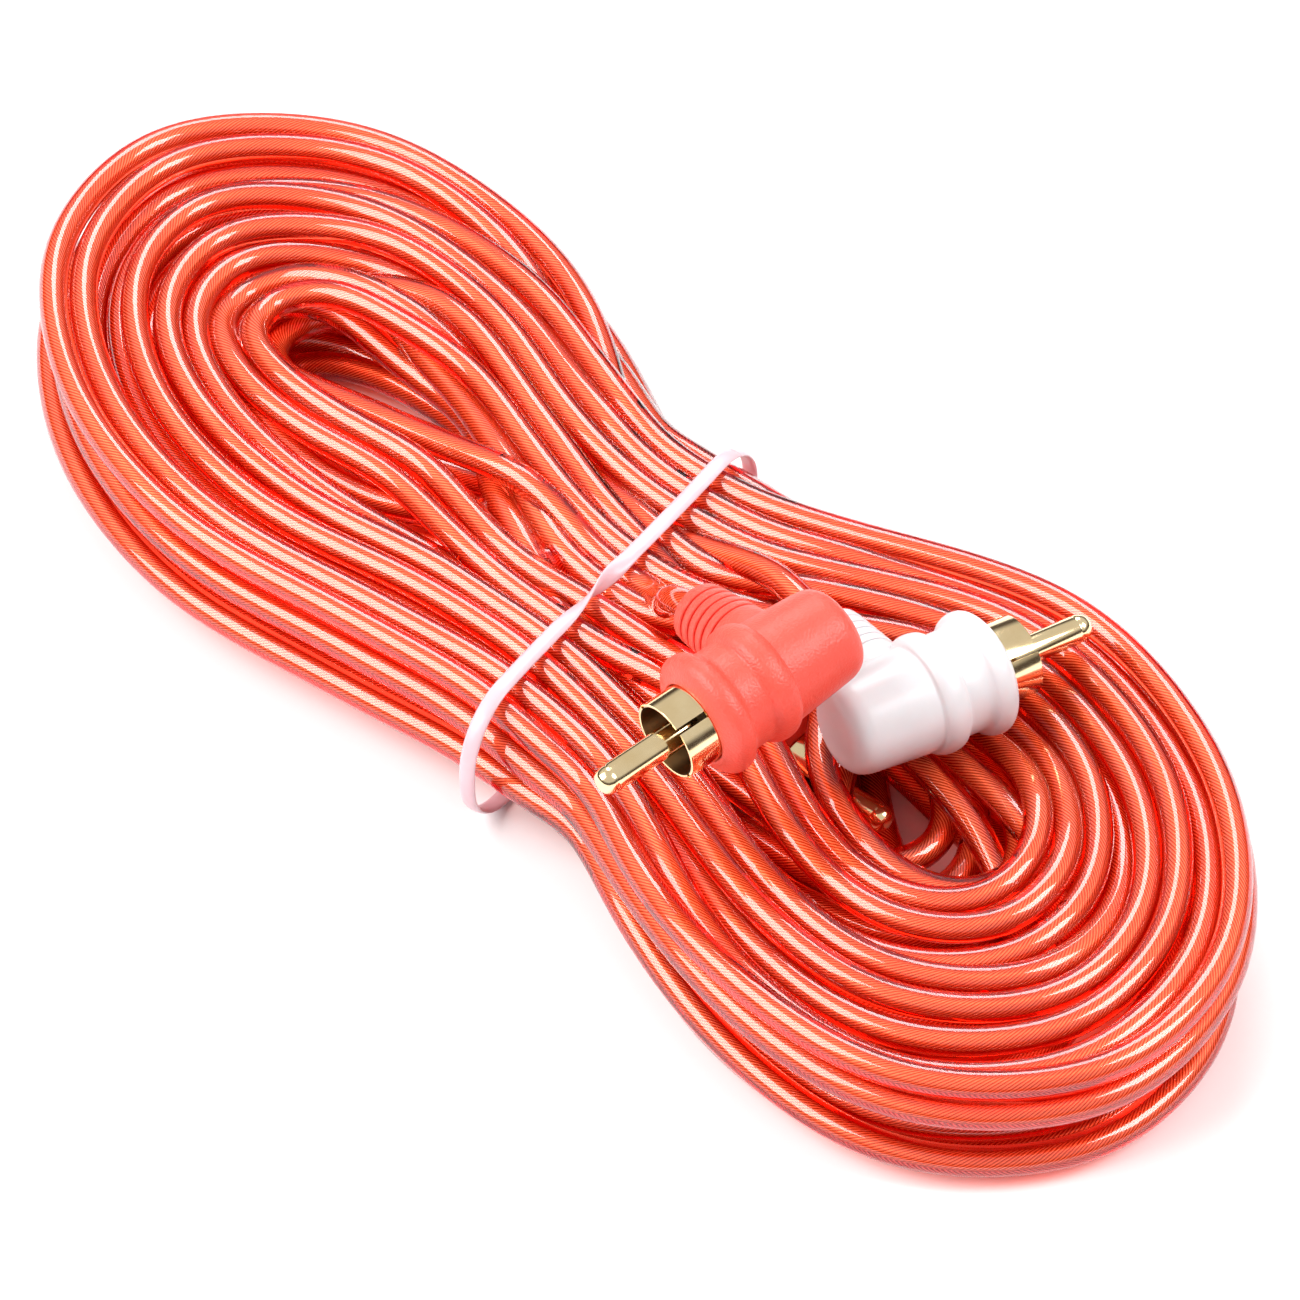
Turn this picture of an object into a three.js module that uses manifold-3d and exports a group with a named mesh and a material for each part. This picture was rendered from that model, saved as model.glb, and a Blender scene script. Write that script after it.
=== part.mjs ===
// Twin audio cable: two round screened leads wound side by side into a long hank,
// tied round the waist with a soft band, with a right-angle phono plug on each end of
// each lead. The near pair of plugs lies on top of the hank, the far pair is tucked
// into its core. Millimetres, +Z up, the hank's long axis along X, resting on Z = 0.
import * as THREE from 'three';
import { mergeVertices } from 'three/addons/utils/BufferGeometryUtils.js';
import Module from 'manifold-3d';

const wasm = await Module();
wasm.setup();

// ---- driving dimensions ----------------------------------------------------------
const GAP = 0.3;                 // running gap kept between touching solids
const LEAD_R = 1.7;              // one lead's jacket
const CORE_R = 0.75;             // the lead's inner insulation where it is stripped
const WIRE_R = 0.35;             // bunched copper strands
const PIGTAIL_R = 0.45;          // twisted shield strands

const HANK_HEIGHT = 17.5;
const HANK_ROUND = 5.5;          // rounding of the hank's upper and lower edges
const HANK_STEPS = 60;           // facets round the hank's outline

const BAND_WIDTH = 2.0;
const BAND_THICK = 0.9;
const BAND_HALF_SPAN = 28.9;     // half the band's outer length across the hank
const BAND_CORNER = 8;
const BAND_CENTRE = [3.7, -2.6];
const BAND_TURN = THREE.MathUtils.degToRad(18);   // how far the band lies off square

const BARREL_R = 6.1;            // plug barrel beside its ring
const BACK_R = 5.65;             // plug barrel at its back end
const RING_R = 6.9;
const NECK_R = 6.0;
const FLANGE_R = 7.15;
const LEG_AT = 8.6;              // strain relief's axis, measured from the barrel's back
const LEG_END = 14.2;            // strain relief's tip, measured from the barrel's axis
const LEG_R = 3.6;
const RIB_DEPTH = 0.45;
const RIB_PITCH = 1.7;
const RIB_COUNT = 4;
const FRONT = 20;                // front face of the flange
const SHELL_RIM = 23.9;
const SHELL_R = 4.55;
const SHELL_BORE_R = 4.15;
const COLLAR_R = 5.1;
const SLOT_WIDTH = 0.7;
const PIN_R = 1.6;
const PIN_TIP = 33;
const PIN_TAIL = 10.6;
const MOULD_R = 4.7;
const MOULD_BACK = 3;
const MOULD_FRONT = 14.2;
const MOULD_LEG_R = 2.45;
const MOULD_LEG_END = 9.8;
const LEAD_STOP = 10.2;          // how far the jacketed lead reaches in, from the axis

// ---- materials -------------------------------------------------------------------
function material(color, roughness, metalness = 0) {
  return new THREE.MeshStandardMaterial({ color, roughness, metalness });
}
const MATERIALS = {
  redMoulding: material(0xf0463c, 0.5),
  whiteMoulding: material(0xf4f2f4, 0.3),
  innerMould: material(0xe9e4d2, 0.45),
  gold: material(0xe0b458, 0.18, 1),
  insulator: material(0x1d1a1a, 0.5),
  coreInsulation: material(0xf2efe6, 0.5),
  copper: material(0xc8743a, 0.3, 1),
  lead: material(0xe8301c, 0.25),
  band: material(0xf3d8dc, 0.35),
};

// ---- geometry helpers ------------------------------------------------------------
function lathe(profile, segments) {
  const points = profile.map(([radius, height]) => new THREE.Vector2(radius, height));
  return new THREE.LatheGeometry(points, segments);
}

function rod(radius, from, to, segments) {
  return lathe([[0, from], [radius, from], [radius, to], [0, to]], segments);
}

// A rod or lathe made along Y is laid along X, with Y = 0 moved to the given height.
function alongX(geometry, height) {
  geometry.rotateZ(-Math.PI / 2);
  geometry.translate(0, height, 0);
  return geometry;
}

function tube(points, radius, sides, steps) {
  const path = new THREE.CatmullRomCurve3(points.map((point) => new THREE.Vector3(...point)));
  const section = new THREE.Shape();
  for (let side = 0; side < sides; side += 1) {
    const angle = (2 * Math.PI * side) / sides;
    const x = radius * Math.cos(angle);
    const y = radius * Math.sin(angle);
    if (side === 0) section.moveTo(x, y);
    else section.lineTo(x, y);
  }
  section.closePath();
  return new THREE.ExtrudeGeometry(section, { steps, bevelEnabled: false, extrudePath: path });
}

function box(low, high) {
  const size = high.map((value, axis) => value - low[axis]);
  const geometry = new THREE.BoxGeometry(...size);
  geometry.translate(...high.map((value, axis) => (value + low[axis]) / 2));
  return geometry;
}

function positionsOnly(geometry) {
  const bare = new THREE.BufferGeometry();
  bare.setAttribute('position', geometry.attributes.position.clone());
  if (geometry.index) bare.setIndex(geometry.index.clone());
  return mergeVertices(bare, 1e-4);
}

// The closed solid of a mesh, without the collapsed triangles that a lathe has on its axis.
function solid(geometry) {
  const merged = positionsOnly(geometry);
  const corners = [];
  const index = merged.index.array;
  for (let at = 0; at < index.length; at += 3) {
    const [a, b, c] = [index[at], index[at + 1], index[at + 2]];
    if (a !== b && b !== c && c !== a) corners.push(a, b, c);
  }
  return new wasm.Manifold(new wasm.Mesh({
    numProp: 3,
    vertProperties: new Float32Array(merged.attributes.position.array),
    triVerts: new Uint32Array(corners),
  }));
}

function join(first, ...others) {
  return others.reduce((whole, next) => whole.add(next), first);
}

function cut(first, ...others) {
  return others.reduce((rest, next) => rest.subtract(next), first);
}

function geometryOf(manifold) {
  const { vertProperties, triVerts } = manifold.getMesh();
  const geometry = new THREE.BufferGeometry();
  geometry.setAttribute('position', new THREE.BufferAttribute(vertProperties, 3));
  geometry.setIndex(new THREE.BufferAttribute(triVerts, 1));
  geometry.computeVertexNormals();
  return geometry;
}

function placed(manifold, matrix) {
  const geometry = geometryOf(manifold);
  geometry.applyMatrix4(matrix);
  return solid(geometry);
}

// ---- plug pieces, with the pin along +Y and the strain relief along +X ------------
const pinProfile = [
  [0, PIN_TAIL], [1.1, PIN_TAIL], [1.1, 13.4], [PIN_R, 13.4], [PIN_R, PIN_TIP - 1.6],
  [1.3, PIN_TIP - 0.6], [0.75, PIN_TIP - 0.12], [0, PIN_TIP],
];
const centrePin = solid(lathe(pinProfile, 12));

const insulator = cut(
  solid(rod(SHELL_BORE_R - GAP, 15, 19, 16)),
  solid(rod(PIN_R + GAP, 14, 20, 12)),
);

function groundShell() {
  const sleeve = solid(lathe([
    [SHELL_BORE_R, 14.5], [SHELL_R, 14.5], [SHELL_R, 14.9], [COLLAR_R, 14.9],
    [COLLAR_R, 15.7], [SHELL_R, 15.7], [SHELL_R, SHELL_RIM], [SHELL_BORE_R, SHELL_RIM],
    [SHELL_BORE_R, 14.5],
  ], 24));
  const solderTab = solid(box([SHELL_BORE_R + 0.02, 11.9, -1.2], [SHELL_R - 0.08, 15, 1.2]));
  const slots = [0, 1].map((quarter) => {
    const slot = box([-9, FRONT + 0.1, -SLOT_WIDTH / 2], [9, SHELL_RIM + 1, SLOT_WIDTH / 2]);
    slot.rotateY(Math.PI / 4 + (quarter * Math.PI) / 2);
    return solid(slot);
  });
  return cut(join(sleeve, solderTab), ...slots);
}

const coreInsulation = solid(tube([[LEAD_STOP - GAP, LEG_AT, 0], [6, LEG_AT, 0], [3, LEG_AT, 0]], CORE_R, 8, 2));

const conductorRoute = [[2.7, LEG_AT, 0], [1.5, LEG_AT + 0.05, 0], [0.5, LEG_AT + 0.5, 0], [0, 10.3, 0]];
const conductor = solid(tube(conductorRoute, WIRE_R, 6, 5));

const pigtailRoute = [
  [LEAD_STOP - GAP, 10.15, 0], [7.5, 10.15, 0], [5.2, 10.4, 0], [3.7, 11.3, 0], [3.38, 12.6, 0], [3.38, 13.7, 0],
];
const shieldPigtail = solid(tube(pigtailRoute, PIGTAIL_R, 6, 8));

function mouldShape(grow) {
  const barrel = solid(rod(MOULD_R + grow, MOULD_BACK - grow, MOULD_FRONT + grow, 16));
  const leg = solid(alongX(rod(MOULD_LEG_R + grow, 0, MOULD_LEG_END + grow, 12), 9.0));
  return join(barrel, leg);
}

// The hard inner mould closes round the joints, so it is cut by each piece it holds.
function innerMould() {
  const coreChannel = solid(alongX(rod(CORE_R + GAP, 0, MOULD_LEG_END + 1, 8), LEG_AT));
  const wireChannel = solid(rod(CORE_R + GAP, LEG_AT - 0.6, PIN_TAIL, 8));
  const tailChannel = solid(rod(1.1 + GAP, PIN_TAIL - 0.5, MOULD_FRONT + 1, 12));
  const pinChannel = solid(rod(PIN_R + GAP, 13.1, MOULD_FRONT + 1, 12));
  const entry = [[LEAD_STOP + 0.6, 10.15, 0], ...pigtailRoute.slice(1, -1), [3.38, MOULD_FRONT + 1, 0]];
  const pigtailChannel = solid(tube(entry, PIGTAIL_R + GAP, 8, 9));
  const tabChannel = solid(box([SHELL_BORE_R - GAP, 11.6, -1.5], [MOULD_R + 1, MOULD_FRONT + 1, 1.5]));
  return cut(mouldShape(0), coreChannel, wireChannel, tailChannel, pinChannel, pigtailChannel, tabChannel);
}

const barrelProfile = [
  [0, 0], [3.6, 0.08], [4.9, 0.6], [BACK_R - 0.1, 1.5], [BACK_R, 2.4], [BARREL_R, 10.1],
  [RING_R - 0.2, 10.8], [RING_R, 12], [RING_R - 0.2, 13.2], [NECK_R, 13.9], [NECK_R, 16.3],
  [FLANGE_R - 0.35, 17], [FLANGE_R, 18.1], [FLANGE_R - 0.1, 19], [FLANGE_R - 0.7, FRONT], [0, FRONT],
];

function legProfile() {
  const profile = [[0, 1], [4.2, 1], [4.15, 5.6], [3.95, 7.2]];
  const firstRib = LEG_END - RIB_COUNT * RIB_PITCH;
  for (let rib = 0; rib < RIB_COUNT; rib += 1) {
    const start = firstRib + rib * RIB_PITCH;
    const radius = LEG_R + 0.25 - 0.1 * rib;
    profile.push([radius - RIB_DEPTH, start + 0.1], [radius - RIB_DEPTH, start + 0.5]);
    profile.push([radius, start + 0.75], [radius, start + RIB_PITCH - 0.15]);
  }
  profile.push([0, LEG_END]);
  return profile;
}

const plugOutline = join(
  solid(lathe(barrelProfile, 20)),
  solid(alongX(lathe(legProfile(), 14), LEG_AT)),
);

function plugBody() {
  const shellSeat = solid(rod(SHELL_R + GAP, MOULD_FRONT, FRONT + 1, 20));
  const collarSeat = solid(rod(COLLAR_R + GAP, MOULD_FRONT, 16, 20));
  const leadBore = solid(alongX(rod(LEAD_R + GAP, MOULD_LEG_END - 1, LEG_END + 1, 12), LEG_AT));
  return cut(plugOutline, mouldShape(GAP), shellSeat, collarSeat, leadBore);
}

const PLUG_PIECES = [
  ['body', plugBody(), null],
  ['inner_mould', innerMould(), 'innerMould'],
  ['ground_shell', groundShell(), 'gold'],
  ['insulator', insulator, 'insulator'],
  ['centre_pin', centrePin, 'gold'],
  ['core_insulation', coreInsulation, 'coreInsulation'],
  ['conductor', conductor, 'copper'],
  ['shield_pigtail', shieldPigtail, 'copper'],
];

// ---- plug places: back of the barrel, pin direction, strain relief direction -------
const FAR_HEIGHT = FLANGE_R + 0.25;
const PLUGS = {
  near_red: { moulding: 'redMoulding', back: [36.95, -1.25, 34], pin: [-0.05, -0.994, -0.1], leg: [-0.98, 0.09, -0.17] },
  near_white: { moulding: 'whiteMoulding', back: [39.35, -3.75, 21], pin: [0.17, 0.985, -0.02], leg: [-0.98, 0.18, -0.06] },
  far_red: { moulding: 'redMoulding', back: [11, -4, FAR_HEIGHT], pin: [1, 0.14, 0], leg: [-0.14, 1, 0] },
  far_white: { moulding: 'whiteMoulding', back: [9, -4, FAR_HEIGHT], pin: [-1, 0.06, 0], leg: [0.06, 1, 0] },
};

function plugMatrix({ back, pin, leg }) {
  const pinAxis = new THREE.Vector3(...pin).normalize();
  const legAxis = new THREE.Vector3(...leg);
  legAxis.addScaledVector(pinAxis, -legAxis.dot(pinAxis)).normalize();
  const sideAxis = new THREE.Vector3().crossVectors(legAxis, pinAxis);
  return new THREE.Matrix4().makeBasis(legAxis, pinAxis, sideAxis).setPosition(...back);
}

function plugGroup(name, place) {
  const group = new THREE.Group();
  for (const [piece, shape, slot] of PLUG_PIECES) {
    const mesh = new THREE.Mesh(geometryOf(shape), MATERIALS[slot ?? place.moulding]);
    mesh.name = `${name}_plug_${piece}`;
    group.add(mesh);
  }
  group.applyMatrix4(plugMatrix(place));
  return group;
}

// A point given in a plug's own axes, in the whole cable's axes.
function onPlug(place, x, y, z) {
  return new THREE.Vector3(x, y, z).applyMatrix4(plugMatrix(place)).toArray();
}

// ---- the hank ----------------------------------------------------------------------
const HANK_OUTLINE = [
  [90.4, -5], [84.7, 12], [68, 27.3], [43, 35.2], [18, 29], [-3, 24], [-24, 27], [-48, 31.2], [-72, 28],
  [-86.5, 16.5], [-90.4, 3], [-82, -14.5], [-62, -28], [-38, -33.4], [-12, -30.2], [6, -28.2], [28, -30.6],
  [55, -33.4], [75, -30], [87, -18.5],
];

function hankBlock() {
  const ring = HANK_OUTLINE.map(([x, y]) => new THREE.Vector3(x, y, 0));
  const outline = new THREE.CatmullRomCurve3(ring, true).getSpacedPoints(HANK_STEPS);
  outline.pop();
  const shape = new THREE.Shape(outline.map((point) => new THREE.Vector2(point.x, point.y)));
  const block = new THREE.ExtrudeGeometry(shape, {
    depth: HANK_HEIGHT - 2 * HANK_ROUND,
    bevelThickness: HANK_ROUND,
    bevelSize: HANK_ROUND,
    bevelOffset: -HANK_ROUND,
    bevelSegments: 3,
  });
  block.translate(0, 0, HANK_ROUND);
  return solid(block);
}

// The band and its groove are upright rounded loops, drawn across the hank and up.
function loopShape(halfSpan, low, high, corner) {
  const shape = new THREE.Shape();
  shape.moveTo(-halfSpan + corner, low);
  shape.lineTo(halfSpan - corner, low);
  shape.absarc(halfSpan - corner, low + corner, corner, -Math.PI / 2, 0);
  shape.lineTo(halfSpan, high - corner);
  shape.absarc(halfSpan - corner, high - corner, corner, 0, Math.PI / 2);
  shape.lineTo(-halfSpan + corner, high);
  shape.absarc(-halfSpan + corner, high - corner, corner, Math.PI / 2, Math.PI);
  shape.lineTo(-halfSpan, low + corner);
  shape.absarc(-halfSpan + corner, low + corner, corner, Math.PI, 1.5 * Math.PI);
  return shape;
}

const BAND_LOW = 0.05;
const BAND_TOP = HANK_HEIGHT + 0.4;

function bandLoop(grow, inward, width) {
  const outer = loopShape(BAND_HALF_SPAN + grow, BAND_LOW - grow, BAND_TOP + grow, BAND_CORNER + grow);
  const wall = BAND_THICK + inward;
  const inner = loopShape(BAND_HALF_SPAN - wall, BAND_LOW + wall, BAND_TOP - wall, BAND_CORNER - wall);
  outer.holes.push(inner);
  const loop = new THREE.ExtrudeGeometry(outer, { depth: width, bevelEnabled: false, curveSegments: 6 });
  loop.translate(0, 0, -width / 2);
  loop.rotateX(Math.PI / 2);
  loop.rotateZ(Math.PI / 2 + BAND_TURN);
  loop.translate(...BAND_CENTRE, 0);
  return solid(loop);
}

// Open pockets under the hank, one for each far plug: barrel, strain relief, shell and pin.
function farPocket(place) {
  const matrix = plugMatrix(place);
  const low = -FAR_HEIGHT - 1;
  const roof = FLANGE_R + GAP;
  const floorSide = matrix.elements[10] > 0 ? 1 : -1;
  const rooms = [
    [-roof, -GAP, roof, FRONT + GAP, roof],
    [0, LEG_AT - 4.6, LEG_END + GAP, LEG_AT + 4.6, 4.6],
    [-SHELL_R - GAP, FRONT, SHELL_R + GAP, PIN_TIP + GAP, SHELL_R + GAP],
  ];
  const solids = rooms.map(([x0, y0, x1, y1, top]) => {
    const depth = [low * floorSide, top * floorSide].sort((a, b) => a - b);
    return placed(solid(box([x0, y0, depth[0]], [x1, y1, depth[1]])), matrix);
  });
  return join(...solids);
}

// The near white plug lies in a dent that it presses into the hank.
function nearNest(place) {
  const barrel = solid(rod(FLANGE_R + GAP + 0.1, -GAP, SHELL_RIM + 1, 28));
  const leg = solid(alongX(rod(4.6, 0, LEG_END + 1, 16), LEG_AT));
  return placed(join(barrel, leg), plugMatrix(place));
}

const cableHank = cut(
  hankBlock(),
  bandLoop(12, GAP, BAND_WIDTH + 2 * GAP),
  farPocket(PLUGS.far_red),
  farPocket(PLUGS.far_white),
  nearNest(PLUGS.near_white),
);

// ---- the leads' free ends, from the hank's top to the near plugs --------------------
const TOP_LANE = HANK_HEIGHT + LEAD_R + GAP;
const redTail = [
  [6.5, 0.6, TOP_LANE], [10, -1.8, TOP_LANE + 1.2], [14, -5.6, TOP_LANE + 5.4], [18, -8.1, 28.9],
  onPlug(PLUGS.near_red, LEG_END + 1.5, LEG_AT, 0),
  onPlug(PLUGS.near_red, LEG_END - 1, LEG_AT, 0),
  onPlug(PLUGS.near_red, LEAD_STOP, LEG_AT, 0),
];
const whiteTail = [
  [12, 9.3, TOP_LANE], [17, 8.9, TOP_LANE],
  onPlug(PLUGS.near_white, LEG_END + 3, LEG_AT, 0),
  onPlug(PLUGS.near_white, LEG_END - 1, LEG_AT, 0),
  onPlug(PLUGS.near_white, LEAD_STOP, LEG_AT, 0),
];

function named(name, geometry, slot) {
  const mesh = new THREE.Mesh(geometry, MATERIALS[slot]);
  mesh.name = name;
  return mesh;
}

// Brings the middle of the whole cable's outline, seen from above, to the origin.
const CENTRING = [0.02, -0.49, 0];

const cable = new THREE.Group();
cable.position.set(...CENTRING);
cable.add(named('cable_hank', geometryOf(cableHank), 'lead'));
cable.add(named('near_red_lead_tail', tube(redTail, LEAD_R, 8, 12), 'lead'));
cable.add(named('near_white_lead_tail', tube(whiteTail, LEAD_R, 8, 8), 'lead'));
cable.add(named('tie_band', geometryOf(bandLoop(0, 0, BAND_WIDTH)), 'band'));
for (const [name, place] of Object.entries(PLUGS)) cable.add(plugGroup(name, place));

export default cable;
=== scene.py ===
"""A twin audio cable wound into a tied hank, with right-angle phono plugs.

The script's own unit is the millimetre; MM turns it into Blender's metres. Both leads are laid
along a designed winding, then pushed apart until they rest side by side.
"""
import math

import bmesh
import bpy
import numpy as np
from mathutils import Matrix, Vector


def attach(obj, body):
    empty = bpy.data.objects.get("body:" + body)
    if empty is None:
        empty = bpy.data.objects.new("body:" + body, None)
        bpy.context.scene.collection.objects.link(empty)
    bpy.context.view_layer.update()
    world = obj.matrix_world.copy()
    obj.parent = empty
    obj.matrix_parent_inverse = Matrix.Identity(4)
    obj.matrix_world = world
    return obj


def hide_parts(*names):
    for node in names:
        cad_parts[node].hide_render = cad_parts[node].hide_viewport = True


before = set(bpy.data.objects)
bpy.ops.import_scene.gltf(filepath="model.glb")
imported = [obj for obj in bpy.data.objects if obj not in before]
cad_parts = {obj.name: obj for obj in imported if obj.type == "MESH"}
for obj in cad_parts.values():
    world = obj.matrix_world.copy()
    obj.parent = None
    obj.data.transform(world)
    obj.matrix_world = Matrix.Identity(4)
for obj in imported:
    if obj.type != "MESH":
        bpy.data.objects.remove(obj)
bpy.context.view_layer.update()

MM = 0.001
BODY = "root"

# ---- driving dimensions, in millimetres ------------------------------------------------
LEAD_D = 3.4
LEAD_R = LEAD_D / 2
HANK_HEIGHT = 17.5
CENTRING = np.array([0.02, -0.49, 0.0])    # the shift that centres the CAD's outline
BAND_CENTRE = np.array([3.7, -2.6])
BAND_TURN = math.radians(18)
BAND_HALF_SPAN = 28.9
BAND_THICK = 0.9
BAND_WIDTH = 2.0

# ---- plug dimensions, along each plug's own axes -----------------------------------------
LEG_AT = 8.6             # the strain relief's axis, measured from the barrel's back
LEG_END = 14.2           # the strain relief's tip, measured from the barrel's axis
LEAD_STOP = 10.2         # where the lead ends inside the strain relief
FLANGE_R = 7.15
PIN_R = 1.6
PIN_TIP = 33
FAR_HEIGHT = FLANGE_R + 0.25
PLUGS = {
    "near_red": {"back": (36.95, -1.25, 34), "pin": (-0.05, -0.994, -0.1), "leg": (-0.98, 0.09, -0.17)},
    "near_white": {"back": (39.35, -3.75, 21), "pin": (0.17, 0.985, -0.02), "leg": (-0.98, 0.18, -0.06)},
    "far_red": {"back": (11, -4, FAR_HEIGHT), "pin": (1, 0.14, 0), "leg": (-0.14, 1, 0)},
    "far_white": {"back": (9, -4, FAR_HEIGHT), "pin": (-1, 0.06, 0), "leg": (0.06, 1, 0)},
}


def unit(vector):
    vector = np.array(vector, float)
    return vector / np.linalg.norm(vector)


def plug_axes(name):
    """Columns are the plug's strain relief, pin and side directions, and its origin follows."""
    place = PLUGS[name]
    pin = unit(place["pin"])
    leg = np.array(place["leg"], float)
    leg = unit(leg - pin * leg.dot(pin))
    return np.column_stack([leg, pin, np.cross(leg, pin)]), np.array(place["back"], float) + CENTRING


def on_plug(name, point):
    """The place of a point given in the plug's own axes."""
    axes, origin = plug_axes(name)
    return axes @ np.array(point, float) + origin


def linked(piece):
    bpy.context.scene.collection.objects.link(piece)
    return piece


# ---- camera --------------------------------------------------------------------------------
CAMERA_TARGET = (7.67, -2.64, 9)
CAMERA_TOWARDS = (0.528, -0.470, 0.707)
CAMERA_DISTANCE = 750
CAMERA_FIELD = math.radians(11)


def make_camera():
    data = bpy.data.cameras.new("camera")
    camera = linked(bpy.data.objects.new("camera", data))
    towards = Vector(CAMERA_TOWARDS).normalized()
    camera.location = (Vector(CAMERA_TARGET) + towards * CAMERA_DISTANCE) * MM
    camera.rotation_euler = towards.to_track_quat("Z", "Y").to_euler()
    data.sensor_fit = "HORIZONTAL"
    data.angle = CAMERA_FIELD
    data.clip_start = 0.01
    data.clip_end = 20
    bpy.context.scene.camera = camera


# ---- the winding's design ----------------------------------------------------------------
HANK_OUTLINE = [
    (90.4, -5), (84.7, 12), (68, 27.3), (43, 35.2), (18, 29), (-3, 24), (-24, 27), (-48, 31.2),
    (-72, 28), (-86.5, 16.5), (-90.4, 3), (-82, -14.5), (-62, -28), (-38, -33.4), (-12, -30.2),
    (6, -28.2), (28, -30.6), (55, -33.4), (75, -30), (87, -18.5),
]
WAIST_AT = 3             # where along X the hank is narrowest
WAIST_SPREAD = 1400      # how far the waist fades into the lobes, in square millimetres
MIDDLE_LINE = -2.1       # the hank's middle in Y
WAIST_SHARE = 0.06       # how open the waist's middle is, as a share of the outline
RIGHT_EYE = {"middle": 4.5, "share": 0.58, "reach": 0.75}
LEFT_EYE = {"middle": -2.0, "share": 0.42, "reach": 0.71}
ROWS = [                 # the height of each row of turns, and how far in its turns lie
    (1.8, (0.22, 1.00)),
    (5.0, (0.04, 0.50, 0.95)),
    (7.8, (0.20,)),
    (10.6, (0.06, 0.56, 0.95)),
    (14.2, (0.03, 0.40, 0.74, 0.94, 0.92)),
]
FIRST_SLOT = (0.45, 8.0)    # how far in the winding starts, and how high
START = 0.295            # where on the outline the far leads join the winding
FINISH = 14.40           # where the near leads leave it, counted in turns
POINTS_PER_TURN = 400
OUTLINE_SAMPLES = 2001
CHANGE_OVER = 0.4        # the part of a turn over which a lead moves on to its next slot
EYE_TURN = 13.50         # where the last whole turn dips into the left eye
EYE_DIP = 4
EYE_DIP_REACH = 0.05
LOBE_SAGS = [            # the lobe where a turn runs nearer the eye's middle, and how far
    (0.5, 0.35), (1.0, 1.20), (2.5, -0.10), (3.0, 0.20), (6.0, 0.35), (10.0, 0.25), (14.0, 0.15),
]
LOBE_REACH = 0.17
FLANK_SAGS = [           # the same for one side of a lobe, and over how much of a turn
    (2.62, 0.85, 0.06), (2.90, 1.50, 0.07), (5.63, 0.75, 0.06), (5.12, 2.00, 0.08), (9.11, 1.60, 0.08),
    (9.84, 0.80, 0.10), (13.64, 0.45, 0.06), (13.87, 0.45, 0.06),
]
WANDER_IN = 0.04         # how far turns stray from their slots, inwards and upwards
WANDER_UP = 0.6
WANDER_PITCH = (0.5, 2.6)
ROLL = 0.5               # how far the pair of leads rolls to and fro, in radians
ROLL_PITCH = (0.3, 1.5)
SWAP_TURN = 6            # the turn in which the two leads change sides
LOOSENESS = 0.35         # half the extra room between the two leads in the lobes
LOOSE_FROM = 0.4         # where that room starts, as a part of the run over which it grows
LOOSE_RUN = 50
STEP = 2.2               # spacing of a lead's points
CURVE_STEPS = 24         # short steps between two points of a route
LEAN = 9                 # points from the winding's end to where a route takes its direction
SEED = 3


def closed_curve(points, at):
    """A smooth closed curve through points, at places counted in points."""
    count = len(points)
    first = np.floor(at).astype(int)
    part = (at - first)[:, None]
    p0, p1, p2, p3 = (points[(first + k) % count] for k in (-1, 0, 1, 2))
    cubic = 3 * p1 - p0 - 3 * p2 + p3
    square = 2 * p0 - 5 * p1 + 4 * p2 - p3
    return 0.5 * (2 * p1 + (p2 - p0) * part + square * part**2 + cubic * part**3)


def open_curve(points, steps=CURVE_STEPS):
    """A smooth open curve through points, as many short steps."""
    points = np.array(points, float)
    padded = np.vstack([2 * points[0] - points[1], points, 2 * points[-1] - points[-2]])
    at = np.linspace(1, len(points) - 1e-6, steps * (len(points) - 1))
    return closed_curve(padded, at)


def distances_along(points):
    """How far along a path each of its points lies."""
    return np.concatenate([[0], np.cumsum(np.linalg.norm(np.diff(points, axis=0), axis=1))])


def winding_loops():
    """A function that gives the hank's outer and inner edge at a place counted in turns."""
    outer = np.array(HANK_OUTLINE, float) + CENTRING[:2]
    x, y = outer.T
    waist = np.exp(-((x - WAIST_AT) ** 2) / WAIST_SPREAD)
    lobe = 1 - waist

    def eye(measure):
        return np.where(x > WAIST_AT, RIGHT_EYE[measure], LEFT_EYE[measure])

    middle = eye("middle") * lobe + MIDDLE_LINE
    share = eye("share") * lobe + WAIST_SHARE * waist
    inner = np.column_stack([eye("reach") * x, middle + (y - middle) * share])
    at = np.linspace(0, len(outer), OUTLINE_SAMPLES)
    along = distances_along(closed_curve(outer, at))
    place = along / along[-1]

    def edges(turns):
        spot = np.interp(turns % 1, place, at)
        return closed_curve(outer, spot), closed_curve(inner, spot)

    return edges


def smooth_noise(at, rng, low, high, waves=6):
    """A sum of sine waves, each from low to high waves a turn, of a size of about one."""
    total = np.zeros_like(at)
    for _ in range(waves):
        pitch = rng.uniform(low, high)
        total += np.sin(2 * math.pi * (pitch * at + rng.random())) * rng.uniform(0.5, 1)
    return total / math.sqrt(0.3 * waves)


def ease(value):
    """A smooth step from 0 to 1."""
    value = np.clip(value, 0, 1)
    return value * value * (3 - 2 * value)


def slots():
    """Where each turn lies in the hank's section: (share of the way in, height)."""
    return [FIRST_SLOT] + [(share, height) for height, shares in ROWS for share in shares]


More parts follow.
